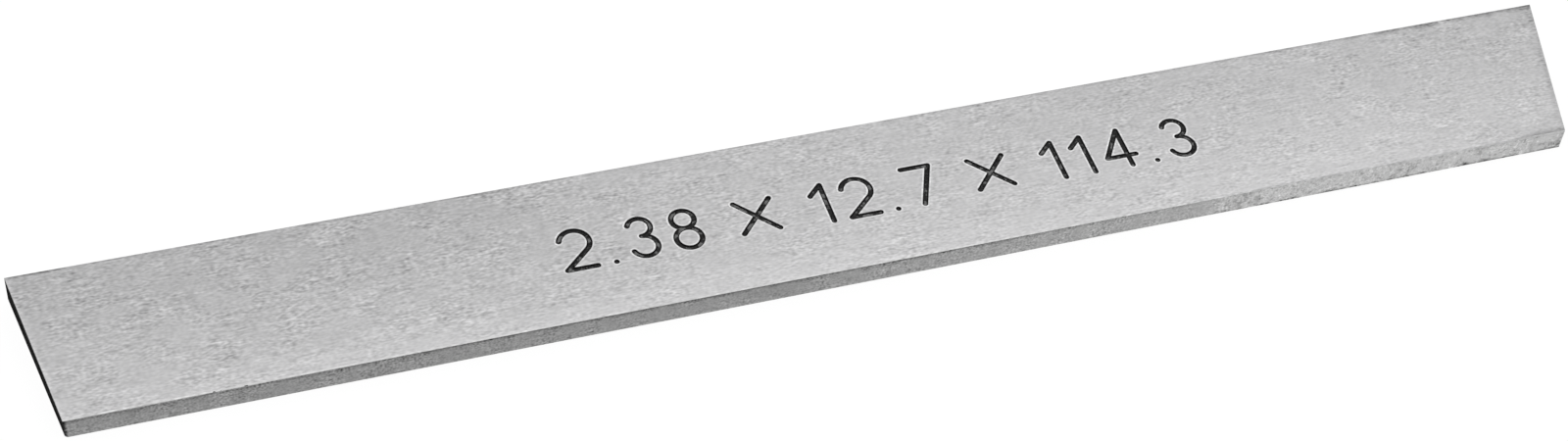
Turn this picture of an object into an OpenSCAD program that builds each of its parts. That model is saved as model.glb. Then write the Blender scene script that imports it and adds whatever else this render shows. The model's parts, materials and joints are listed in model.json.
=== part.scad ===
// Parting blade: a bar of ground tool steel that cuts work off in a lathe.
// It lies on one flank, with its length along X and its height along Y.
// The thick edge at +Y carries a cutting edge at each end. Both flanks close in
// towards the thin edge at -Y, so that the blade's sides stay clear of the cut.

/* [Blade] */
// Length of the thick edge, from one cutting edge to the other
blade_length = 114.3; // [80:0.1:160]
// Height from the thin edge to the thick edge
blade_height = 12.7; // [10:0.1:20]
// Width of the cut, which is the thickness at the thick edge
cut_width = 2.38; // [2:0.01:5]

/* [Clearance angles] */
// Side clearance of each flank, in degrees
side_clearance = 1.3; // [0.5:0.05:2.5]
// Front clearance of the end at -X, in degrees
left_clearance = 8.5; // [0:0.5:20]
// Front clearance of the end at +X, in degrees
right_clearance = 16.5; // [0:0.5:20]

/* [Edges] */
// Width of the flat that breaks the two long corners of the thin edge
edge_break = 0.08; // [0.02:0.01:0.12]

/* [Hidden] */

// Thickness at the thin edge, once both flanks have closed in
thin_width = cut_width - 2 * blade_height * tan(side_clearance);
// How far the cutting solids run past the faces that they cut
overrun = 1;
// Lowest and highest Y of the blade when its lower flank lies level
low_y = -(thin_width - edge_break) * sin(side_clearance);
high_y = blade_height / cos(side_clearance);

// Half of the blade's thickness at a height above the thin edge
function half_width(height) = thin_width / 2 + height * tan(side_clearance);

// Where each end plane stands at a height: the thick edge reaches furthest out
function left_end(height) = -blade_length / 2 + (blade_height - height) * tan(left_clearance);
function right_end(height) = blade_length / 2 - (blade_height - height) * tan(right_clearance);

// Section across the blade: height along X, thickness along Y.
// The thick edge keeps its sharp corners, because they cut.
module wedge_section() {
    flat = thin_width / 2 - edge_break;
    polygon([
        [0, -flat],
        [edge_break, -half_width(edge_break)],
        [blade_height, -half_width(blade_height)],
        [blade_height, half_width(blade_height)],
        [edge_break, half_width(edge_break)],
        [0, flat],
    ]);
}

// Side view of the space between the two end planes, open past both long edges
module between_ends() {
    below = -overrun;
    above = blade_height + overrun;
    polygon([
        [left_end(below), below],
        [right_end(below), below],
        [right_end(above), above],
        [left_end(above), above],
    ]);
}

// The blade about its own middle plane, with the thin edge at Y = 0
module ground_bar() {
    intersection() {
        rotate([90, 0, 90])
            linear_extrude(blade_length + 2 * overrun, center = true) wedge_section();
        linear_extrude(cut_width + 2 * overrun, center = true) between_ends();
    }
}

// The finished blade, turned by its side clearance so that one flank lies level
module parting_blade() {
    color("silver")
        translate([0, -(low_y + high_y) / 2, 0])
            rotate([side_clearance, 0, 0])
                translate([0, 0, thin_width / 2])
                    ground_bar();
}

parting_blade();
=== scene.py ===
"""Looks of a lathe's parting blade: a ground bar of tool steel with engraved numbers, and burnt ends in
painted shade.
"""

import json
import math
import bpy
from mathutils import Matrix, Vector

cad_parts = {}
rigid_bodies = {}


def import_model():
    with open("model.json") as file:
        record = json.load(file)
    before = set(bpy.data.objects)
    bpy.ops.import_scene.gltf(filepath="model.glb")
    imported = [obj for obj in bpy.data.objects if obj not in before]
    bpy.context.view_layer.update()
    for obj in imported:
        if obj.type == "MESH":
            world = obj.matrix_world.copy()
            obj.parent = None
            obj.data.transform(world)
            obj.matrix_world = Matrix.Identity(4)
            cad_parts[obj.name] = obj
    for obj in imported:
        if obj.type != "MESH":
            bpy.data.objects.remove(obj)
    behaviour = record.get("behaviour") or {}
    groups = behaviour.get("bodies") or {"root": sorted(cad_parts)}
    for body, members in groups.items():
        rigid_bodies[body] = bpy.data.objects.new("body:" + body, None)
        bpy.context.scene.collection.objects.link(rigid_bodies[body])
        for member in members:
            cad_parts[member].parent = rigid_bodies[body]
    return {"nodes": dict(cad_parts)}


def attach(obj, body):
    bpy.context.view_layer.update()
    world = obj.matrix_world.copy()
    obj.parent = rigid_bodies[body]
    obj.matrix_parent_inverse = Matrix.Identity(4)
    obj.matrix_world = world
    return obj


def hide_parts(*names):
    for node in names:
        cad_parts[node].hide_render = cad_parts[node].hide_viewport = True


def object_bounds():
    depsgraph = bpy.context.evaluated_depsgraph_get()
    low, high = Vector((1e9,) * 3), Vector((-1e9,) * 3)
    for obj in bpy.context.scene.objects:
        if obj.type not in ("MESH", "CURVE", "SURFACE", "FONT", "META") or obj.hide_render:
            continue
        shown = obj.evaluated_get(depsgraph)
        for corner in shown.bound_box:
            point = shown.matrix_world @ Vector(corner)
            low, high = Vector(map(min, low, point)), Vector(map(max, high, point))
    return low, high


bl_info = {
    "name": "Parting Blade",
    "version": (1, 0, 0),
    "blender": (4, 5, 0),
    "location": "View3D > Sidebar > Parting Blade",
    "description": "Builds a ground steel parting blade with engraved size numbers, and its studio",
    "category": "Object",
}

import bmesh
import bpy
from bpy.props import FloatProperty, FloatVectorProperty, PointerProperty, StringProperty
from mathutils import Matrix, Vector

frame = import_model()
CAD_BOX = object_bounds()

MM = 0.001
BODY = "root"
BAR_NODE = "parting_blade"
BAR_NAME = "ground_blade"

# Points of the frame's mesh closer than this are one point
WELD = 0.001 * MM
# Faces that turn by less than this from each other are one flat side
FLAT_ANGLE = math.radians(1)
# A face belongs to an axis when the cosine of the angle between them is over this
FACING = math.cos(math.radians(30))

# Sockets of a Mix node that blends two colours
MIX_SHARE, MIX_FIRST, MIX_SECOND, MIX_RESULT = 0, 6, 7, 2
# Soft noise mostly stays between the low and the high value, about the middle one
NOISE_LOW, NOISE_MIDDLE, NOISE_HIGH = 0.3, 0.5, 0.7
# Scratches of the grinding grain: how long and how wide they are, counted in streaks, the detail of
# their noise, and their weight. The weights add up to 1.
SCRATCHES = [(0.36, 0.5, 0.0, 0.49), (0.9, 0.9, 1.0, 0.31), (3.0, 0.7, 0.0, 0.20)]
# Patches of bolder scratches, and the soft mottling, both sized in the same way
PATCHES = (4.0, 8.0, 2.0)
MOTTLING = (1.0, 6.0, 3.0)
# How strong the scratches are in the faintest and in the boldest patches
FAINT, BOLD = 0.5, 1.5
# Values of the noise where specks begin, and where they are full
LIGHT_SPECKS = (0.58, 0.74)
DARK_SPECKS = (0.42, 0.26)
BARE_FLECKS = (0.50, 0.63)
# A ragged line swells and shrinks about once in this length, by this many times its width, and is never
# narrower than the least
RAGGED_LENGTH = 1.6 * MM
RAGGED_SWELL = 6.0
RAGGED_LEAST = 0.01 * MM
# Flecks of bare metal lie about this far apart
FLECK_LENGTH = 0.45 * MM
# A rounded corner belongs to an end when its normal leans at least this far along the bar
END_LEAN = 0.2

# The bar's material slots, in order
FLANK, THIN_EDGE, THICK_EDGE, CUT_END, ARRIS, DULL_CORNER = range(6)

# Size numbers, drawn as the path of an engraving cutter. A digit is 1 high, with its foot at 0.
# A line has two ends, and a dot has a place. An arc has a centre, a radius and two angles in degrees,
# and a ring has a centre and a radius.
NUMERALS = {
    "0": [
        ("arc", (0.29, 0.71), 0.29, 180, 0),
        ("line", (0.58, 0.71), (0.58, 0.29)),
        ("arc", (0.29, 0.29), 0.29, 0, -180),
        ("line", (0.00, 0.29), (0.00, 0.71)),
    ],
    "1": [("line", (0.00, 0.74), (0.28, 1.00)), ("line", (0.28, 1.00), (0.28, 0.00))],
    "2": [
        ("arc", (0.31, 0.69), 0.31, 165, -48),
        ("line", (0.517, 0.460), (0.00, 0.00)),
        ("line", (0.00, 0.00), (0.62, 0.00)),
    ],
    "3": [("arc", (0.28, 0.765), 0.235, 160, -90), ("arc", (0.28, 0.265), 0.265, 90, -160)],
    "4": [
        ("line", (0.46, 1.00), (0.00, 0.28)),
        ("line", (0.00, 0.28), (0.64, 0.28)),
        ("line", (0.46, 1.00), (0.46, 0.00)),
    ],
    "5": [
        ("line", (0.54, 1.00), (0.12, 1.00)),
        ("line", (0.12, 1.00), (0.04, 0.54)),
        ("arc", (0.27, 0.32), 0.32, 136, -150),
    ],
    "6": [("ring", (0.30, 0.30), 0.30), ("line", (0.03, 0.43), (0.31, 1.00))],
    "7": [("line", (0.00, 1.00), (0.60, 1.00)), ("line", (0.60, 1.00), (0.20, 0.00))],
    "8": [("ring", (0.27, 0.765), 0.235), ("ring", (0.27, 0.265), 0.265)],
    "9": [("ring", (0.30, 0.70), 0.30), ("line", (0.57, 0.57), (0.29, 0.00))],
    ".": [("dot", (0.00, 0.00))],
    "x": [("line", (0.00, 0.09), (0.76, 0.91)), ("line", (0.00, 0.91), (0.76, 0.09))],
}

# Nicks in the upper corner of the thin edge: where a nick begins and ends along it, its radius and its
# depth
NICKS = [
    (-45.66 * MM, -45.58 * MM, 0.07 * MM, 0.10 * MM),
    (-45.22 * MM, -45.16 * MM, 0.05 * MM, 0.08 * MM),
    (-43.64 * MM, -43.46 * MM, 0.06 * MM, 0.10 * MM),
]
# How far outside the flank's border the middles of the nicks lie
NICK_OUTSET = 0.09 * MM

# The studio, in metres. The surround gives scattered light of this strength, and is 1 to the eye.
SURROUND_LIGHT = 0.8
FLOOR_HALF = 2.0
FLOOR_DROP = 0.01 * MM
PAPER_WHITE = (0.9, 0.9, 0.9, 1.0)
# Seen directly, the paper glows by itself with this strength and share. The rest of it shows the shadow.
PAPER_GLOW = 1.06
PAPER_GLOW_SHARE = 0.88
LAMP_PLACE = (0.26, 0.30, 0.34)
LAMP_SIZE = 0.30


def numeral_width(sign):
    """How wide a sign is, from its leftmost to its rightmost stroke."""
    rights = [0.0]
    for kind, *shape in NUMERALS[sign]:
        if kind in ("arc", "ring"):
            rights.append(shape[0][0] + shape[1])
        else:
            rights.extend(point[0] for point in shape)
    return max(rights)


class BladeSizes(bpy.types.PropertyGroup):
    """Fine sizes of the ground bar"""

    arris: FloatProperty(
        name="Arris",
        description="Width of the fine rounding that stoning leaves on every corner",
        default=0.025 * MM,
        min=0.005 * MM,
        max=0.06 * MM,
        subtype="DISTANCE",
    )
    worn: FloatProperty(
        name="Worn corner",
        description="How far the lower corner of the left end is worn off",
        default=0.23 * MM,
        min=0.02 * MM,
        max=0.5 * MM,
        subtype="DISTANCE",
    )


class MarkingSizes(bpy.types.PropertyGroup):
    """Sizes of the engraved numbers"""

    numbers: StringProperty(
        name="Numbers",
        description="Size of the blade in millimetres: width of cut, height and length",
        default="2.38 x 12.7 x 114.3",
    )
    height: FloatProperty(
        name="Height",
        description="Height of a digit, between the middles of its strokes",
        default=3.42 * MM,
        min=1.0 * MM,
        max=8.0 * MM,
        subtype="DISTANCE",
    )
    stroke: FloatProperty(
        name="Stroke",
        description="Width of an engraved stroke at the surface",
        default=0.43 * MM,
        min=0.1 * MM,
        max=1.0 * MM,
        subtype="DISTANCE",
    )
    depth: FloatProperty(
        name="Depth",
        description="Depth of an engraved stroke",
        default=0.10 * MM,
        min=0.02 * MM,
        max=0.3 * MM,
        subtype="DISTANCE",
    )
    rim: FloatProperty(
        name="Rim",
        description="Width of the bright rim that the cutter burnishes beside a stroke",
        default=0.10 * MM,
        min=0.01 * MM,
        max=0.3 * MM,
        subtype="DISTANCE",
    )
    rim_depth: FloatProperty(
        name="Rim depth",
        description="Depth of the rim where it meets the stroke",
        default=0.02 * MM,
        min=0.005 * MM,
        max=0.05 * MM,
        subtype="DISTANCE",
    )
    gap: FloatProperty(
        name="Gap",
        description="Space between signs, as a share of a digit's height",
        default=0.382,
        min=0.2,
        max=1.0,
        subtype="FACTOR",
    )
    space: FloatProperty(
        name="Space",
        description="Extra space for a blank, as a share of a digit's height",
        default=0.46,
        min=0.0,
        max=1.0,
        subtype="FACTOR",
    )
    along: FloatProperty(
        name="Along",
        description="Where the middle of the numbers lies along the blade",
        default=2.4 * MM,
        subtype="DISTANCE",
    )
    across: FloatProperty(
        name="Across",
        description="How far the middle of the numbers lies from the thin edge",
        default=6.05 * MM,
        subtype="DISTANCE",
    )


def colour_property(name, description, default):
    """A colour that the user can change."""
    return FloatVectorProperty(
        name=name, description=description, default=default, size=3, min=0, max=1, subtype="COLOR"
    )


class FinishColours(bpy.types.PropertyGroup):
    """Colours of the steel"""

    flank: colour_property("Flank", "Ground flanks of the blade", (0.487, 0.485, 0.489))
    # The arris is burnished, and its light colour is also a painted highlight along the corners
    arris: colour_property("Arris", "Burnished corners", (0.680, 0.680, 0.682))
    rim: colour_property("Rim", "Burnished rims of the engraved strokes", (0.625, 0.625, 0.627))
    edge: colour_property("Edge", "Ground long edges", (0.320, 0.320, 0.320))
    worn_edge: colour_property("Worn edge", "Edges where holding has scuffed them", (0.555, 0.555, 0.555))
    # The ends are burnt dark, and painted near black as painted shade too
    cut_end: colour_property("Cut end", "Ends, burnt black by the cut-off wheel", (0.014, 0.014, 0.014))
    dulled: colour_property("Dulled", "Corners of the burnt end", (0.340, 0.340, 0.340))
    nick: colour_property("Nick", "Nicks in the long corners", (0.120, 0.120, 0.120))
    groove: colour_property("Groove", "Burnt walls of the engraved strokes", (0.008, 0.008, 0.008))
    groove_floor: colour_property("Groove floor", "Floors of the engraved strokes", (0.028, 0.028, 0.028))


class StageSettings(bpy.types.PropertyGroup):
    """Camera and light of the studio"""

    target: FloatVectorProperty(
        name="Target",
        description="Point that the camera looks at",
        default=(-4.935 * MM, -0.175 * MM, 1.000 * MM),
        size=3,
        subtype="TRANSLATION",
    )
    azimuth: FloatProperty(
        name="Azimuth",
        description="Turn of the camera about the upright axis, from straight in front",
        default=math.radians(-21.98),
        subtype="ANGLE",
    )
    elevation: FloatProperty(
        name="Elevation",
        description="Height of the camera above the floor, as an angle",
        default=math.radians(45.75),
        subtype="ANGLE",
    )
    roll: FloatProperty(
        name="Roll",
        description="Turn of the camera about its own line of sight",
        default=math.radians(5.52),
        subtype="ANGLE",
    )
    distance: FloatProperty(
        name="Distance",
        description="From the target to the camera",
        default=198.6 * MM,
        min=50 * MM,
        subtype="DISTANCE",
    )
    lens: FloatProperty(
        name="Lens",
        description="Focal length in millimetres, on a sensor 36 mm wide",
        default=65.50,
        min=10,
        unit="CAMERA",
    )
    key_power: FloatProperty(
        name="Key light",
        description="Power of the large lamp above the blade",
        default=0.10,
        min=0,
        unit="POWER",
    )


class PartingBladeSettings(bpy.types.PropertyGroup):
    """Everything that can be set on the blade and its studio"""

    sizes: PointerProperty(type=BladeSizes)
    marking: PointerProperty(type=MarkingSizes)
    colours: PointerProperty(type=FinishColours)
    stage: PointerProperty(type=StageSettings)


# Small helpers for shader nodes


def add_node(tree, kind, **options):
    """Adds a node and sets its options."""
    made = tree.nodes.new(kind)
    for name, value in options.items():
        setattr(made, name, value)
    return made


def feed(tree, socket, source):
    """Joins an input to another node's output, or sets it to a plain value."""
    if isinstance(source, bpy.types.NodeSocket):
        tree.links.new(source, socket)
    else:
        socket.default_value = source


def maths(tree, operation, *sources):
    """One step of arithmetic on values."""
    made = add_node(tree, "ShaderNodeMath", operation=operation)
    for socket, source in zip(made.inputs, sources):
        feed(tree, socket, source)
    return made.outputs[0]


def ramp(tree, value, start, end, low=0.0, high=1.0):
    """A smooth rise from low to high, while a value goes from start to end."""
    made = add_node(tree, "ShaderNodeMapRange", interpolation_type="SMOOTHSTEP")
    names = ("Value", "From Min", "From Max", "To Min", "To Max")
    for name, source in zip(names, (value, start, end, low, high)):
        feed(tree, made.inputs[name], source)
    return made.outputs["Result"]


def over_noise(tree, value, low, high):
    """A smooth rise from low to high over the usual range of soft noise."""
    return ramp(tree, value, NOISE_LOW, NOISE_HIGH, low, high)


def graded(tree, tone, along, *stretches):
    """A tone that changes along an axis.
    A stretch has a start, an end, and the lift before and after it."""
    for start, end, before, after in stretches:
        tone = maths(tree, "ADD", tone, ramp(tree, along, start, end, before, after))
    return tone


def noise(tree, vector, scale, detail, roughness=0.5):
    """Soft noise about a middle of one half."""
    made = add_node(tree, "ShaderNodeTexNoise")
    feed(tree, made.inputs["Vector"], vector)
    feed(tree, made.inputs["Scale"], scale)
    made.inputs["Detail"].default_value = detail
    made.inputs["Roughness"].default_value = roughness
    return made.outputs["Fac"]


def blend_colours(tree, share, first, second):
    """The first colour where the share is 0, and the second where it is 1."""
    made = add_node(tree, "ShaderNodeMix", data_type="RGBA")
    feed(tree, made.inputs[MIX_SHARE], share)
    feed(tree, made.inputs[MIX_FIRST], first)
    feed(tree, made.inputs[MIX_SECOND], second)
    return made.outputs[MIX_RESULT]


def brighten(tree, colour, times):
    """A colour made lighter or darker by a value."""
    made = add_node(tree, "ShaderNodeHueSaturation")
    feed(tree, made.inputs["Color"], colour)
    feed(tree, made.inputs["Value"], times)
    return made.outputs["Color"]


def rgba(colour):
    """A colour property as a socket's four numbers."""
    return (*colour, 1.0)


def new_group(name, inputs, outputs):
    """An empty shader node group with value inputs and outputs, and its two end nodes."""
    tree = bpy.data.node_groups.new(name, "ShaderNodeTree")
    for label, kind in inputs:
        tree.interface.new_socket(label, in_out="INPUT", socket_type=kind)
    for label in outputs:
        tree.interface.new_socket(label, in_out="OUTPUT", socket_type="NodeSocketFloat")
    return tree, tree.nodes.new("NodeGroupInput"), tree.nodes.new("NodeGroupOutput")


def shrunk(tree, vector, sizes):
    """A place measured in units of its own size along each axis."""
    size = add_node(tree, "ShaderNodeCombineXYZ")
    for socket, source in zip(size.inputs, sizes):
        feed(tree, socket, source)
    divided = add_node(tree, "ShaderNodeVectorMath", operation="DIVIDE")
    feed(tree, divided.inputs[0], vector)
    feed(tree, divided.inputs[1], size.outputs[0])
    return divided.outputs[0]


def grinding_grain_group():
    """Scratches that a grinding wheel leaves along X, bolder in some patches than in others."""
    inputs = [
        ("Vector", "NodeSocketVector"),
        ("Streak Length", "NodeSocketFloat"),
        ("Streak Width", "NodeSocketFloat"),
    ]
    tree, start, end = new_group("Grinding Grain", inputs, ["Streaks", "Mottle"])

    def scratches(long, wide, detail):
        """Noise drawn out along X, this many streaks long and wide."""
        length = maths(tree, "MULTIPLY", start.outputs["Streak Length"], long)
        width = maths(tree, "MULTIPLY", start.outputs["Streak Width"], wide)
        spot = shrunk(tree, start.outputs["Vector"], (length, width, width))
        return noise(tree, spot, scale=1.0, detail=detail, roughness=0.6)

    streaks = 0.0
    for long, wide, detail, weight in SCRATCHES:
        streaks = maths(tree, "MULTIPLY_ADD", scratches(long, wide, detail), weight, streaks)
    boldness = over_noise(tree, scratches(*PATCHES), FAINT, BOLD)
    bold = maths(tree, "MULTIPLY_ADD", centred(tree, streaks, 1.0), boldness, NOISE_MIDDLE)
    feed(tree, end.inputs["Streaks"], bold)
    feed(tree, end.inputs["Mottle"], scratches(*MOTTLING))
    return tree


def specks_group():
    """Small light and dark specks, such as pits and bare spots."""
    inputs = [("Vector", "NodeSocketVector"), ("Size", "NodeSocketFloat")]
    tree, start, end = new_group("Specks", inputs, ["Light", "Dark"])
    size = start.outputs["Size"]
    spots = noise(tree, shrunk(tree, start.outputs["Vector"], (size, size, size)), scale=1.0, detail=1.0)
    feed(tree, end.inputs["Light"], ramp(tree, spots, *LIGHT_SPECKS))
    feed(tree, end.inputs["Dark"], ramp(tree, spots, *DARK_SPECKS))
    return tree


def edge_line_group():
    """A line along a straight edge: 1 on the edge's plane, falling to 0 at a width from it.
    A ragged line swells and breaks off along the edge."""
    inputs = [
        ("Vector", "NodeSocketVector"),
        ("Facing", "NodeSocketVector"),
        ("Reach", "NodeSocketFloat"),
        ("Width", "NodeSocketFloat"),
        ("Ragged", "NodeSocketFloat"),
    ]
    tree, start, end = new_group("Edge Line", inputs, ["Line"])
    along = add_node(tree, "ShaderNodeVectorMath", operation="DOT_PRODUCT")
    feed(tree, along.inputs[0], start.outputs["Vector"])
    feed(tree, along.inputs[1], start.outputs["Facing"])
    depth = maths(tree, "SUBTRACT", start.outputs["Reach"], along.outputs["Value"])
    wander = noise(tree, start.outputs["Vector"], scale=1 / RAGGED_LENGTH, detail=3.0, roughness=0.65)
    swell = maths(tree, "MULTIPLY", centred(tree, wander, RAGGED_SWELL), start.outputs["Ragged"])
    width = maths(tree, "MULTIPLY", start.outputs["Width"], maths(tree, "ADD", swell, 1.0))
    feed(tree, end.inputs["Line"], ramp(tree, depth, maths(tree, "MAXIMUM", width, RAGGED_LEAST), 0.0))
    return tree


def new_material(name):
    """A material with a Principled BSDF, the tree's place input and nothing else."""
    made = bpy.data.materials.new(name)
    made.use_nodes = True
    tree = made.node_tree
    place = add_node(tree, "ShaderNodeTexCoord").outputs["Object"]
    return made, tree, tree.nodes["Principled BSDF"], place


def placed_group(tree, name, **values):
    """A node group placed in a material with its own values."""
    made = add_node(tree, "ShaderNodeGroup", node_tree=bpy.data.node_groups[name])
    for label, source in values.items():
        feed(tree, made.inputs[label.replace("_", " ").title()], source)
    return made


def roughen(tree, shader, height, strength, rise):
    """Fine relief from a value, as a grinding wheel leaves it."""
    bump = add_node(tree, "ShaderNodeBump")
    bump.inputs["Strength"].default_value = strength
    bump.inputs["Distance"].default_value = rise
    feed(tree, bump.inputs["Height"], height)
    feed(tree, shader.inputs["Normal"], bump.outputs["Normal"])


def centred(tree, value, contrast):
    """A noise value spread about 0 by a contrast."""
    return maths(tree, "MULTIPLY", maths(tree, "SUBTRACT", value, NOISE_MIDDLE), contrast)


def grained(tree, grain, bite, mottling):
    """A tone about 1, with the grain's scratches and mottling at the given contrasts."""
    tone = maths(tree, "MULTIPLY_ADD", centred(tree, grain.outputs["Streaks"], 1.0), bite, 1.0)
    return maths(tree, "ADD", tone, centred(tree, grain.outputs["Mottle"], mottling))


def lined(tree, tone, place, planes, *lines):
    """A tone, made lighter or darker along the bar's sides.
    A line has the side that it follows, a width, how ragged it is, and the lift of the tone."""
    for side, width, ragged, lift in lines:
        facing, reach = planes[side]
        line = placed_group(
            tree, "Edge Line", vector=place, facing=facing, reach=reach, width=width, ragged=ragged
        )
        tone = maths(tree, "ADD", tone, maths(tree, "MULTIPLY", line.outputs["Line"], lift))
    return tone


def bare_steel(tree, shader, colour, value, smoothest, roughest):
    """Bare metal of a colour, smoother and rougher with the value of a soft noise."""
    feed(tree, shader.inputs["Base Color"], colour)
    shader.inputs["Metallic"].default_value = 1.0
    feed(tree, shader.inputs["Roughness"], over_noise(tree, value, smoothest, roughest))


def axes_of(tree, place):
    """The X, Y and Z of a place."""
    axes = add_node(tree, "ShaderNodeSeparateXYZ")
    feed(tree, axes.inputs[0], place)
    return axes.outputs


def flank_material(colours, planes):
    """Bright flanks, surface ground lengthways, with painted light that grows towards the thin edge."""
    made, tree, shader, place = new_material("ground_flank")
    axes = axes_of(tree, place)
    grain = placed_group(
        tree, "Grinding Grain", vector=place, streak_length=0.85 * MM, streak_width=0.28 * MM
    )
    bite = ramp(tree, axes["X"], -30 * MM, 40 * MM, 1.34, 1.24)
    tone = grained(tree, grain, bite, mottling=0.16)
    # Painted light makes it lighter towards the thin edge. It is also darker from left to right
    low, high = CAD_BOX
    tone = graded(tree, tone, axes["Y"], (low.y, high.y, 0.08, -0.08))
    tone = graded(
        tree,
        tone,
        axes["X"],
        (-56 * MM, -36 * MM, 0.02, 0.0),
        (-4 * MM, 20 * MM, 0.0, -0.03),
        (36 * MM, 52 * MM, 0.0, -0.03),
    )
    # A band along the thin edge is lighter, most of all left of the middle
    band_lift = graded(
        tree,
        0.0,
        axes["X"],
        (-25 * MM, 25 * MM, 0.09, 0.03),
        (-56 * MM, -44 * MM, -0.07, 0.0),
        (38 * MM, 50 * MM, 0.0, -0.08),
    )
    # A painted sheen over the half beside the thick edge, strongest about the middle
    painted_sheen = graded(
        tree, 0.0, axes["X"], (-26 * MM, -16 * MM, 0.0, 0.06), (8 * MM, 24 * MM, 0.0, -0.045)
    )
    # The border is dubbed at the right of the thin edge, shown by painted shade, and darker along the thick
    # edge, most at its ends
    dubbed_width = ramp(tree, axes["X"], 48.3 * MM, 51.5 * MM, RAGGED_LEAST, 0.62 * MM)
    left_corner = ramp(tree, axes["X"], -53.7 * MM, -53.3 * MM, -0.40, 0.0)
    thick_border_dark = ramp(tree, axes["X"], 30 * MM, 50 * MM, -0.18, -0.43)
    thick_border_width = ramp(tree, axes["X"], 30 * MM, 50 * MM, 0.28 * MM, 0.52 * MM)
    tone = lined(
        tree,
        tone,
        place,
        planes,
        ("thin", 3.0 * MM, 0.0, band_lift),
        # Painted highlights along the thin edge's border
        ("thin", 0.45 * MM, 0.0, 0.04),
        ("thin", 0.12 * MM, 1.0, 0.13),
        ("thin", dubbed_width, 0.2, -0.40),
        ("left", 0.30 * MM, 0.8, 0.20),
        ("right", 1.0 * MM, 0.0, -0.07),
        ("right", 0.50 * MM, 0.6, -0.13),
        ("right", 0.20 * MM, 0.5, 0.12),
        ("thick", 9.0 * MM, 0.0, painted_sheen),
        ("thick", thick_border_width, 0.7, thick_border_dark),
        ("thick", 0.24 * MM, 0.3, left_corner),
    )
    colour = brighten(tree, rgba(colours.flank), tone)
    bare_steel(tree, shader, colour, grain.outputs["Streaks"], smoothest=0.36, roughest=0.48)
    roughen(tree, shader, grain.outputs["Streaks"], strength=0.35, rise=0.004 * MM)
    return made


def long_edge_material(name, colours, planes, scuffed):
    """Greyer long edges. The share of the scuffed and pitted end that shows is 1 on the thin edge."""
    made, tree, shader, place = new_material(name)
    axes = axes_of(tree, place)
    grain = placed_group(
        tree, "Grinding Grain", vector=place, streak_length=0.45 * MM, streak_width=0.26 * MM
    )
    pits = placed_group(tree, "Specks", vector=place, size=0.34 * MM)
    patches = placed_group(tree, "Specks", vector=place, size=1.0 * MM)
    # Lighter towards the right, and scuffed from a ragged border on
    drift = ramp(tree, axes["X"], -22 * MM, 40 * MM, 0.0, 0.55 * scuffed)
    ragged_along = maths(tree, "MULTIPLY_ADD", grain.outputs["Mottle"], 4 * MM, axes["X"])
    scuff = ramp(tree, ragged_along, 25 * MM, 30 * MM, 0.0, scuffed)
    colour = blend_colours(tree, drift, rgba(colours.edge), rgba(colours.worn_edge))
    colour = blend_colours(tree, scuff, colour, rgba(colours.worn_edge))
    bite = maths(tree, "MULTIPLY_ADD", scuff, -0.7, 2.1)
    tone = grained(tree, grain, bite, mottling=0.25)
    tone = graded(tree, tone, axes["X"], (-34 * MM, -10 * MM, -0.06, 0.0))
    pitted = maths(tree, "MULTIPLY_ADD", scuff, 0.8, 0.2)
    for share, marks, lift in (
        (pitted, pits.outputs["Light"], 0.22),
        (pitted, pits.outputs["Dark"], -0.32),
        (scuff, patches.outputs["Dark"], -0.28),
    ):
        tone = maths(tree, "MULTIPLY_ADD", share, maths(tree, "MULTIPLY", marks, lift), tone)
    # Painted shade along the upper corner, a painted highlight at its left, and dark chips along the lower
    # corner
    shade = graded(
        tree, 0.0, axes["X"], (4 * MM, 32 * MM, -0.60, -0.08), (-50 * MM, -36 * MM, 0.14, 0.0)
    )
    gleam = ramp(tree, axes["X"], -50 * MM, -22 * MM, 1.0, 0.0)
    # A broad painted shade under the upper corner at the left
    broad_shade = ramp(tree, axes["X"], -52 * MM, -34 * MM, -0.12, 0.0)
    chipped = maths(tree, "MULTIPLY", scuff, -0.80)
    tone = lined(
        tree,
        tone,
        place,
        planes,
        ("upper", 0.46 * MM, 0.5, shade),
        ("upper", 0.24 * MM, 0.4, gleam),
        ("upper", 1.2 * MM, 0.0, broad_shade),
        ("lower", 0.28 * MM, 1.0, chipped),
        ("left", 0.30 * MM, 0.1, -0.85),
        ("right", 0.90 * MM, 0.3, -0.10),
    )
    colour = brighten(tree, colour, tone)
    bare_steel(tree, shader, colour, grain.outputs["Streaks"], smoothest=0.42, roughest=0.55)
    roughen(tree, shader, grain.outputs["Streaks"], strength=0.4, rise=0.006 * MM)
    return made


def burnished_material(name, colour, worn):
    """Steel burnished by rubbing, brighter in some stretches.
    Towards the right its brightness goes from full to the worn share."""
    made, tree, shader, place = new_material(name)
    grain = placed_group(
        tree, "Grinding Grain", vector=place, streak_length=1.0 * MM, streak_width=0.3 * MM
    )
    share = ramp(tree, axes_of(tree, place)["X"], 15 * MM, 35 * MM, 1.0, worn)
    tone = maths(tree, "ADD", share, centred(tree, grain.outputs["Streaks"], contrast=1.2))
    shiny = brighten(tree, rgba(colour), tone)
    bare_steel(tree, shader, shiny, grain.outputs["Mottle"], smoothest=0.32, roughest=0.42)
    return made


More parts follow.
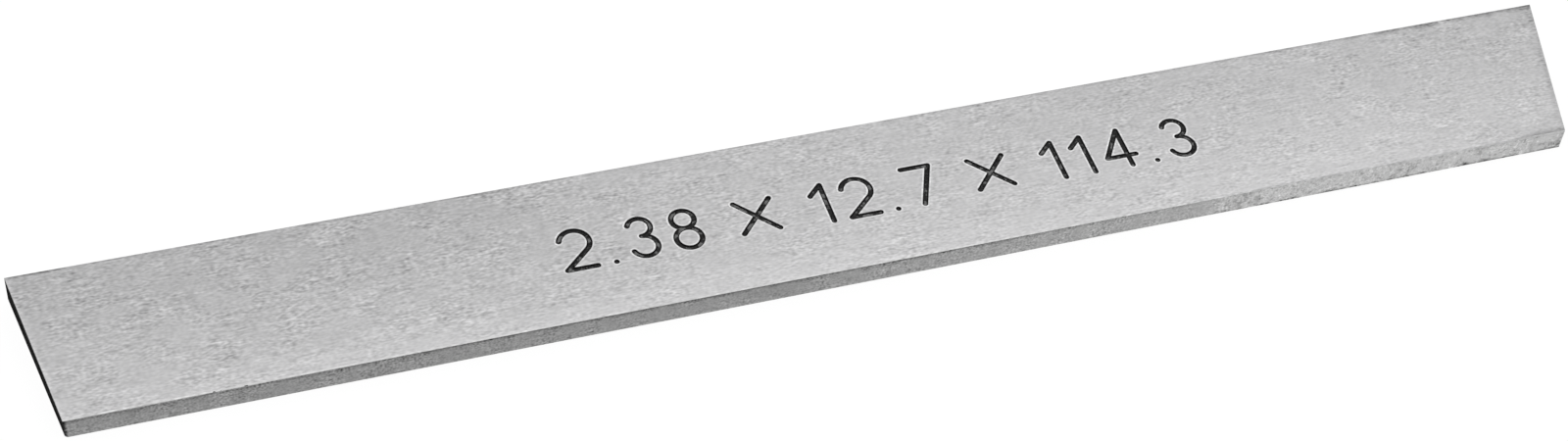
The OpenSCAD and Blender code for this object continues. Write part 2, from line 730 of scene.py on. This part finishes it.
def burnt_material(name, colour, fleck_colour, gloss, flecks, planes=None):
    """Steel burnt to a dull black, with flecks of bare metal at a share of their full strength.
    Given the bar's sides, bare metal shows along the lower one too, most of all near the thin edge."""
    made, tree, shader, place = new_material(name)
    grain = placed_group(
        tree, "Grinding Grain", vector=place, streak_length=0.30 * MM, streak_width=0.20 * MM
    )
    tone = maths(tree, "ADD", 1.0, centred(tree, grain.outputs["Streaks"], contrast=4.5))
    dark = brighten(tree, rgba(colour), tone)
    spots = noise(tree, place, scale=1 / FLECK_LENGTH, detail=2.0)
    bare = ramp(tree, spots, *BARE_FLECKS, 0.0, flecks)
    if planes:
        band_lift = ramp(tree, axes_of(tree, place)["Y"], -6 * MM, -4 * MM, 0.80, 0.50)
        bare = lined(tree, bare, place, planes, ("lower", 0.5 * MM, 0.3, band_lift))
    feed(tree, shader.inputs["Base Color"], blend_colours(tree, bare, dark, rgba(fleck_colour)))
    shader.inputs["Specular IOR Level"].default_value = gloss
    feed(tree, shader.inputs["Roughness"], over_noise(tree, grain.outputs["Streaks"], low=0.55, high=0.75))
    roughen(tree, shader, grain.outputs["Streaks"], strength=0.5, rise=0.01 * MM)
    return made


# The ground bar


def welded_bar():
    """A copy of the frame's bar as a welded mesh with one face for each flat side."""
    bm = bmesh.new()
    bm.from_mesh(frame["nodes"][BAR_NODE].data)
    bmesh.ops.remove_doubles(bm, verts=bm.verts, dist=WELD)
    bmesh.ops.dissolve_limit(bm, angle_limit=FLAT_ANGLE, verts=bm.verts, edges=bm.edges)
    bmesh.ops.recalc_face_normals(bm, faces=bm.faces)
    return bm


def side_of(face):
    """The material slot of a flat side, by where it faces."""
    if abs(face.normal.z) > FACING:
        return FLANK
    if abs(face.normal.x) > FACING:
        return CUT_END
    if face.normal.y < -FACING:
        return THIN_EDGE
    if face.normal.y > FACING:
        return THICK_EDGE
    # A corner facet that faces up gets the bright arris, partly a painted highlight; one facing down gets
    # the edge's finish
    return ARRIS if face.normal.z > 0 else THIN_EDGE


def side_planes(bm):
    """Normal and reach of the bar's flat sides, for the lines along its edges."""
    facing = {
        "thin": min(bm.faces, key=lambda face: face.normal.y),
        "thick": max(bm.faces, key=lambda face: face.normal.y),
        "left": min(bm.faces, key=lambda face: face.normal.x),
        "right": max(bm.faces, key=lambda face: face.normal.x),
        "upper": max(bm.faces, key=lambda face: face.normal.z),
        "lower": min(bm.faces, key=lambda face: face.normal.z),
    }
    return {
        name: (face.normal.copy(), face.normal.dot(face.verts[0].co)) for name, face in facing.items()
    }


def plane_off(bm, point, outward, slot):
    """Takes off what lies outside a plane, and closes the cut with a face of a material slot."""
    cut = bmesh.ops.bisect_plane(
        bm, geom=[*bm.verts, *bm.edges, *bm.faces], plane_co=point, plane_no=outward, clear_outer=True
    )
    rim = [item for item in cut["geom_cut"] if isinstance(item, bmesh.types.BMEdge)]
    for face in bmesh.ops.edgeloop_fill(bm, edges=rim)["faces"]:
        face.material_index = slot


def upper_flank_place():
    """Where the upper flank lies: X runs along it, Y across from the thin edge, and Z out of the steel."""
    bm = welded_bar()
    flank = max(bm.faces, key=lambda face: face.normal.z)
    out = flank.normal.copy()
    along = Vector((1, 0, 0))
    across = out.cross(along)
    border = min(vert.co.dot(across) for vert in flank.verts)
    height = flank.verts[0].co.dot(out)
    place = Matrix((along, across, out)).transposed().to_4x4()
    place.translation = across * border + out * height
    bm.free()
    return place


class PARTING_OT_grind_bar(bpy.types.Operator):
    """Grinds the bar to the frame's solid and gives each side its finish"""

    bl_idname = "parting_blade.grind_bar"
    bl_label = "Grind Bar"

    def execute(self, context):
        settings = context.scene.parting_blade
        bm = welded_bar()
        planes = side_planes(bm)
        for face in bm.faces:
            face.material_index = side_of(face)
        outward = planes["left"][0] + planes["lower"][0]
        reach = planes["left"][1] + planes["lower"][1] - settings.sizes.worn
        plane_off(bm, outward * (reach / outward.length_squared), outward, DULL_CORNER)
        rounded = bmesh.ops.bevel(
            bm,
            geom=list(bm.edges),
            offset=settings.sizes.arris,
            offset_type="OFFSET",
            affect="EDGES",
            segments=2,
            profile=0.5,
            material=-1,
        )
        for face in rounded["faces"]:
            if face.normal.x > END_LEAN:
                face.material_index = ARRIS
            elif face.normal.x < -END_LEAN:
                upright = abs(face.normal.z) < END_LEAN
                face.material_index = CUT_END if upright else DULL_CORNER
        mesh = bpy.data.meshes.new(BAR_NAME)
        bm.to_mesh(mesh)
        bm.free()
        grinding_grain_group()
        specks_group()
        edge_line_group()
        colours = settings.colours
        # The ends are burnt dark, and painted near black without gloss as painted shade as well
        cut_end = burnt_material(
            "burnt_end_with_painted_shade", colours.cut_end, colours.edge, gloss=0.0, flecks=0.06, planes=planes
        )
        for material in (
            flank_material(colours, planes),
            long_edge_material("ground_thin_edge", colours, planes, scuffed=1.0),
            long_edge_material("ground_thick_edge", colours, planes, scuffed=0.0),
            cut_end,
            # Burnished corners, whose light colour is also a painted highlight
            burnished_material("burnished_arris_and_highlight", colours.arris, worn=0.72),
            burnished_material("dulled_corner", colours.dulled, worn=1.0),
        ):
            mesh.materials.append(material)
        bar = bpy.data.objects.new(BAR_NAME, mesh)
        context.collection.objects.link(bar)
        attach(bar, BODY)
        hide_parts(BAR_NODE)
        return {"FINISHED"}


# Cuts in the upper flank


def volume_of(mesh):
    """How much a mesh holds, which has to be closed."""
    bm = bmesh.new()
    bm.from_mesh(mesh)
    if not all(edge.is_manifold for edge in bm.edges):
        raise RuntimeError(f"{mesh.name} isn't closed")
    volume = bm.calc_volume()
    bm.free()
    return volume


def split_bar(places):
    """Splits the bar's faces across at places along it, so that no face has to hold many cuts."""
    mesh = bpy.data.objects[BAR_NAME].data
    bm = bmesh.new()
    bm.from_mesh(mesh)
    for place in places:
        bmesh.ops.bisect_plane(
            bm, geom=[*bm.verts, *bm.edges, *bm.faces], plane_co=(place, 0, 0), plane_no=(1, 0, 0)
        )
    bm.to_mesh(mesh)
    bm.free()


class Cutter:
    """A cone-shaped cutter that runs along strokes on the upper flank.
    Each cut is a solid of its own, and goes in the given collection."""

    SIDES = 20
    # Steps of an arc for each full turn, and the fewest of any arc
    TURN_STEPS = 48
    LEAST_STEPS = 4
    # Radius of the cutter's tip, as a share of its radius at the surface
    TIP_SHARE = 0.45

    def __init__(self, cuts, place, stroke, depth, wall, floor):
        self.cuts = cuts
        self.place = place
        self.radius = stroke / 2
        self.depth = depth
        self.finishes = (wall, floor)
        # The cutter stands out of the surface by its own depth
        self.rise = depth
        self.tip = self.radius * self.TIP_SHARE
        self.top = 2 * self.radius - self.tip

    def keep(self, bm):
        """Puts a finished cut in its place on the flank, among the others."""
        bmesh.ops.recalc_face_normals(bm, faces=bm.faces)
        for face in bm.faces:
            face.material_index = 1 if face.normal.z < -FACING else 0
        bmesh.ops.transform(bm, matrix=self.place, verts=bm.verts)
        mesh = bpy.data.meshes.new("cut")
        bm.to_mesh(mesh)
        bm.free()
        for finish in self.finishes:
            mesh.materials.append(finish)
        self.cuts.objects.link(bpy.data.objects.new("cut", mesh))

    def straight(self, *points):
        """The hull round the cutter's two rims at each point."""
        bm = bmesh.new()
        for point in points:
            for radius, height in ((self.tip, -self.depth), (self.top, self.rise)):
                spot = Matrix.Translation((*point, height))
                bmesh.ops.create_circle(bm, segments=self.SIDES, radius=radius, matrix=spot)
        hull = bmesh.ops.convex_hull(bm, input=bm.verts)
        spare = [item for item in hull["geom_interior"] if isinstance(item, bmesh.types.BMVert)]
        bmesh.ops.delete(bm, geom=spare, context="VERTS")
        bmesh.ops.dissolve_limit(bm, angle_limit=FLAT_ANGLE, verts=bm.verts, edges=bm.edges)
        self.keep(bm)

    def dot(self, point):
        """The cutter set down at one point."""
        self.straight(point)

    def line(self, start, end):
        """The cutter run straight from one point to another."""
        self.straight(start, end)

    def sweep(self, centre, radius, first, last):
        """The cutter's section turned about a centre. A full turn closes on itself."""
        bm = bmesh.new()
        middle = Vector((*centre, 0))
        out = Vector((math.cos(math.radians(first)), math.sin(math.radians(first)), 0))
        section = [
            bm.verts.new(middle + out * (radius + side) + Vector((0, 0, height)))
            for side, height in (
                (-self.tip, -self.depth),
                (self.tip, -self.depth),
                (self.top, self.rise),
                (-self.top, self.rise),
            )
        ]
        edges = [bm.edges.new(pair) for pair in zip(section, section[1:] + section[:1])]
        closed = abs(last - first) == 360
        swept = bmesh.ops.spin(
            bm,
            geom=section + edges,
            cent=middle,
            axis=(0, 0, 1),
            angle=math.radians(last - first),
            steps=max(self.LEAST_STEPS, round(self.TURN_STEPS * abs(last - first) / 360)),
            use_merge=closed,
        )
        if not closed:
            ends = edges + [item for item in swept["geom_last"] if isinstance(item, bmesh.types.BMEdge)]
            bmesh.ops.holes_fill(bm, edges=ends, sides=len(section))
        self.keep(bm)

    def arc(self, centre, radius, first, last):
        """The cutter run round a centre, with its round tip at both ends."""
        self.sweep(centre, radius, first, last)
        for angle in (first, last):
            turned = Vector((math.cos(math.radians(angle)), math.sin(math.radians(angle))))
            self.dot(Vector(centre) + turned * radius)

    def ring(self, centre, radius):
        """The cutter run right round a centre."""
        self.sweep(centre, radius, 0, 360)


def take_out(context, cuts):
    """Takes a collection of cuts out of the bar in one go, and deletes their solids."""
    bar = bpy.data.objects[BAR_NAME]
    context.scene.collection.children.link(cuts)
    taken = bar.modifiers.new("cuts", "BOOLEAN")
    taken.operation = "DIFFERENCE"
    taken.solver = "MANIFOLD"
    taken.operand_type = "COLLECTION"
    taken.collection = cuts
    taken.material_mode = "TRANSFER"
    graph = context.evaluated_depsgraph_get()
    done = bpy.data.meshes.new_from_object(bar.evaluated_get(graph))
    lost = volume_of(bar.data) - volume_of(done)
    if not 0 < lost <= sum(volume_of(solid.data) for solid in cuts.objects):
        raise RuntimeError("the cuts took off too little or too much of the bar")
    bar.modifiers.clear()
    before = bar.data
    bar.data = done
    bpy.data.meshes.remove(before)
    done.name = BAR_NAME
    for solid in list(cuts.objects):
        bpy.data.meshes.remove(solid.data)
    bpy.data.collections.remove(cuts)


def laid_out(marking):
    """The left side and the sign of each number, about the middle of them all."""
    row = []
    reach = 0.0
    for sign in marking.numbers:
        if sign == " ":
            reach += marking.space
            continue
        row.append((reach, sign))
        reach += numeral_width(sign) + marking.gap
    middle = (reach - marking.gap) / 2
    return [((left - middle) * marking.height, sign) for left, sign in row]


def engrave(cutter, marking):
    """Runs the cutter along the numbers, about their middle."""
    height = marking.height
    for left, sign in laid_out(marking):
        foot = Vector((left, -height / 2))
        for kind, first, *rest in NUMERALS[sign]:
            start = Vector(first) * height + foot
            if kind in ("arc", "ring"):
                radius, *angles = rest
                getattr(cutter, kind)(start, radius * height, *angles)
            else:
                ends = [Vector(point) * height + foot for point in rest]
                getattr(cutter, kind)(start, *ends)


class PARTING_OT_engrave_numbers(bpy.types.Operator):
    """Engraves the blade's size numbers in the upper flank"""

    bl_idname = "parting_blade.engrave_numbers"
    bl_label = "Engrave Numbers"

    def execute(self, context):
        settings = context.scene.parting_blade
        marking = settings.marking
        colours = settings.colours
        flank = upper_flank_place()
        middle = flank @ Matrix.Translation((marking.along, marking.across, 0))
        rim = burnished_material("burnished_rim", colours.rim, worn=1.0)
        wall = burnt_material("engraved_wall", colours.groove, colours.edge, gloss=0.05, flecks=0.0)
        floor = burnt_material("engraved_floor", colours.groove_floor, colours.edge, gloss=0.05, flecks=0.6)
        half_gap = marking.gap * marking.height / 2
        split_bar([marking.along + left - half_gap for left, _ in laid_out(marking)])
        cuts = bpy.data.collections.new("cuts")
        for cutter in (
            Cutter(cuts, middle, marking.stroke + 2 * marking.rim, marking.rim_depth, rim, rim),
            Cutter(cuts, middle, marking.stroke, marking.depth, wall, floor),
        ):
            engrave(cutter, marking)
        take_out(context, cuts)
        return {"FINISHED"}


class PARTING_OT_nick_corners(bpy.types.Operator):
    """Knocks small nicks in the corner between the upper flank and the thin edge"""

    bl_idname = "parting_blade.nick_corners"
    bl_label = "Nick Corners"

    def execute(self, context):
        colours = context.scene.parting_blade.colours
        dented = burnt_material("nicked_corner", colours.nick, colours.edge, gloss=0.15, flecks=0.0)
        flank = upper_flank_place()
        cuts = bpy.data.collections.new("cuts")
        for start, end, radius, depth in NICKS:
            nick = Cutter(cuts, flank, 2 * radius, depth, dented, dented)
            nick.line((start, -NICK_OUTSET), (end, -NICK_OUTSET))
        take_out(context, cuts)
        return {"FINISHED"}


# The studio


def white_world():
    """A white surround: plain white to the eye and to polished steel, and a soft light on the floor."""
    world = bpy.data.worlds.new("studio")
    world.use_nodes = True
    tree = world.node_tree
    background = tree.nodes["Background"]
    strength = ramp(tree, seen_directly(tree), 0.0, 1.0, SURROUND_LIGHT, 1.0)
    feed(tree, background.inputs["Strength"], strength)
    background.inputs["Color"].default_value = (1, 1, 1, 1)
    return world


def seen_directly(tree):
    """1 where the eye, a mirror or a clear body looks straight at a surface, and 0 for scattered light."""
    path = add_node(tree, "ShaderNodeLightPath")
    seen = maths(tree, "MAXIMUM", path.outputs["Is Camera Ray"], path.outputs["Is Glossy Ray"])
    return maths(tree, "MAXIMUM", seen, path.outputs["Is Transmission Ray"])


def floor_material():
    """White paper that keeps a faint shadow."""
    made = bpy.data.materials.new("white_floor")
    made.use_nodes = True
    tree = made.node_tree
    tree.nodes.remove(tree.nodes["Principled BSDF"])
    paper = add_node(tree, "ShaderNodeBsdfDiffuse")
    paper.inputs["Color"].default_value = PAPER_WHITE
    glow = add_node(tree, "ShaderNodeEmission")
    glow.inputs["Color"].default_value = (1, 1, 1, 1)
    glow.inputs["Strength"].default_value = PAPER_GLOW
    mix = add_node(tree, "ShaderNodeMixShader")
    feed(tree, mix.inputs["Fac"], maths(tree, "MULTIPLY", seen_directly(tree), PAPER_GLOW_SHARE))
    feed(tree, mix.inputs[1], paper.outputs[0])
    feed(tree, mix.inputs[2], glow.outputs[0])
    feed(tree, tree.nodes["Material Output"].inputs["Surface"], mix.outputs[0])
    return made


def add_floor(collection):
    """A wide floor just under the blade."""
    bm = bmesh.new()
    just_under = CAD_BOX[0].z - FLOOR_DROP
    bmesh.ops.create_grid(
        bm, x_segments=1, y_segments=1, size=FLOOR_HALF, matrix=Matrix.Translation((0, 0, just_under))
    )
    mesh = bpy.data.meshes.new("floor")
    bm.to_mesh(mesh)
    bm.free()
    mesh.materials.append(floor_material())
    floor = bpy.data.objects.new("floor", mesh)
    collection.objects.link(floor)


def add_lamp(collection, name, place, size, power):
    """A soft square lamp that looks at the blade."""
    lamp = bpy.data.lights.new(name, "AREA")
    lamp.energy = power
    lamp.size = size
    holder = bpy.data.objects.new(name, lamp)
    spot = Vector(place)
    holder.matrix_world = Matrix.Translation(spot) @ spot.to_track_quat("Z", "Y").to_matrix().to_4x4()
    collection.objects.link(holder)


def add_camera(scene, stage):
    """A camera at the photograph's viewing angle."""
    flat = math.cos(stage.elevation)
    turn = stage.azimuth
    back = Vector((math.sin(turn) * flat, -math.cos(turn) * flat, math.sin(stage.elevation)))
    lens = bpy.data.cameras.new("camera")
    lens.lens = stage.lens
    lens.sensor_fit = "HORIZONTAL"
    lens.clip_start = 1 * MM
    holder = bpy.data.objects.new("camera", lens)
    turned = back.to_track_quat("Z", "Y").to_matrix().to_4x4() @ Matrix.Rotation(stage.roll, 4, "Z")
    holder.matrix_world = Matrix.Translation(Vector(stage.target) + back * stage.distance) @ turned
    scene.collection.objects.link(holder)
    scene.camera = holder


class PARTING_OT_set_stage(bpy.types.Operator):
    """Sets up the floor, the light and the camera"""

    bl_idname = "parting_blade.set_stage"
    bl_label = "Set Stage"

    def execute(self, context):
        scene = context.scene
        stage = scene.parting_blade.stage
        scene.view_settings.view_transform = "Standard"
        scene.world = white_world()
        add_floor(context.collection)
        add_lamp(context.collection, "key_lamp", LAMP_PLACE, LAMP_SIZE, stage.key_power)
        add_camera(scene, stage)
        return {"FINISHED"}


class PARTING_PT_panel(bpy.types.Panel):
    """Lists the blade's settings and operators"""

    bl_idname = "PARTING_PT_panel"
    bl_label = "Parting Blade"
    bl_space_type = "VIEW_3D"
    bl_region_type = "UI"
    bl_category = "Parting Blade"

    def draw(self, context):
        settings = context.scene.parting_blade
        for group, operator in (
            (settings.sizes, PARTING_OT_grind_bar),
            (settings.marking, PARTING_OT_engrave_numbers),
            (settings.colours, PARTING_OT_nick_corners),
            (settings.stage, PARTING_OT_set_stage),
        ):
            box = self.layout.box()
            for name in group.__annotations__:
                box.prop(group, name)
            box.operator(operator.bl_idname)


CLASSES = (
    BladeSizes,
    MarkingSizes,
    FinishColours,
    StageSettings,
    PartingBladeSettings,
    PARTING_OT_grind_bar,
    PARTING_OT_engrave_numbers,
    PARTING_OT_nick_corners,
    PARTING_OT_set_stage,
    PARTING_PT_panel,
)


def register():
    """Adds the classes and the scene's settings."""
    for made in CLASSES:
        bpy.utils.register_class(made)
    bpy.types.Scene.parting_blade = PointerProperty(type=PartingBladeSettings)


def unregister():
    """Takes the settings and the classes away again."""
    del bpy.types.Scene.parting_blade
    for made in reversed(CLASSES):
        bpy.utils.unregister_class(made)


def main():
    """Builds the blade and its studio."""
    register()
    bpy.ops.parting_blade.grind_bar()
    bpy.ops.parting_blade.nick_corners()
    bpy.ops.parting_blade.engrave_numbers()
    bpy.ops.parting_blade.set_stage()


if __name__ == "__main__":
    main()
